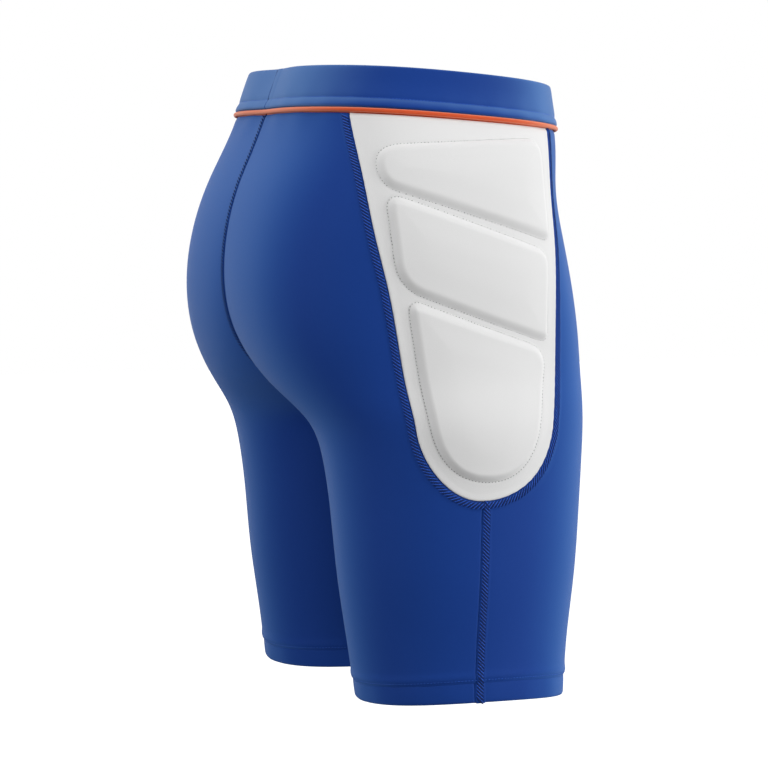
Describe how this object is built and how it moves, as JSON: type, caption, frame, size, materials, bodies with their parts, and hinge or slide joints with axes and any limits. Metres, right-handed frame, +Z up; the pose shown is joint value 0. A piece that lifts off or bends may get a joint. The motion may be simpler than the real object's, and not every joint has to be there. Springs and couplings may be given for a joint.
{
  "type": "padded sliding shorts",
  "caption": "Close-fitting knee-length sports shorts in blue knit, with white side panels moulded over foam hip pads, a waistband, orange piping and turned leg hems.",
  "frame": {"origin": "middle of the waist, at half the waistband's height, where a waist carries the shorts", "axes": "+Z up, -Y towards the wearer's front, -X towards the wearer's right; X = 0 is the plane of symmetry"},
  "size_m": [0.3952, 0.2634, 0.4905],
  "materials": {
    "blue_knit": "smooth royal blue compression knit with a soft sheen",
    "white_knit": "smooth white compression knit",
    "orange_piping": "orange knit over cord",
    "pad_foam": "pale closed-cell foam"
  },
  "bodies": {
    "root": {"waistband": "blue_knit", "waist_piping": "orange_piping", "back_panel_right": "blue_knit", "back_panel_left": "blue_knit", "front_panel_right": "blue_knit", "front_panel_left": "blue_knit", "side_panel_right": "white_knit", "side_panel_left": "white_knit", "hip_pad_upper_right": "pad_foam", "hip_pad_middle_right": "pad_foam", "hip_pad_lower_right": "pad_foam", "hip_pad_upper_left": "pad_foam", "hip_pad_middle_left": "pad_foam", "hip_pad_lower_left": "pad_foam", "leg_hem_right": "blue_knit", "leg_hem_left": "blue_knit"}
  },
  "joints": []
}
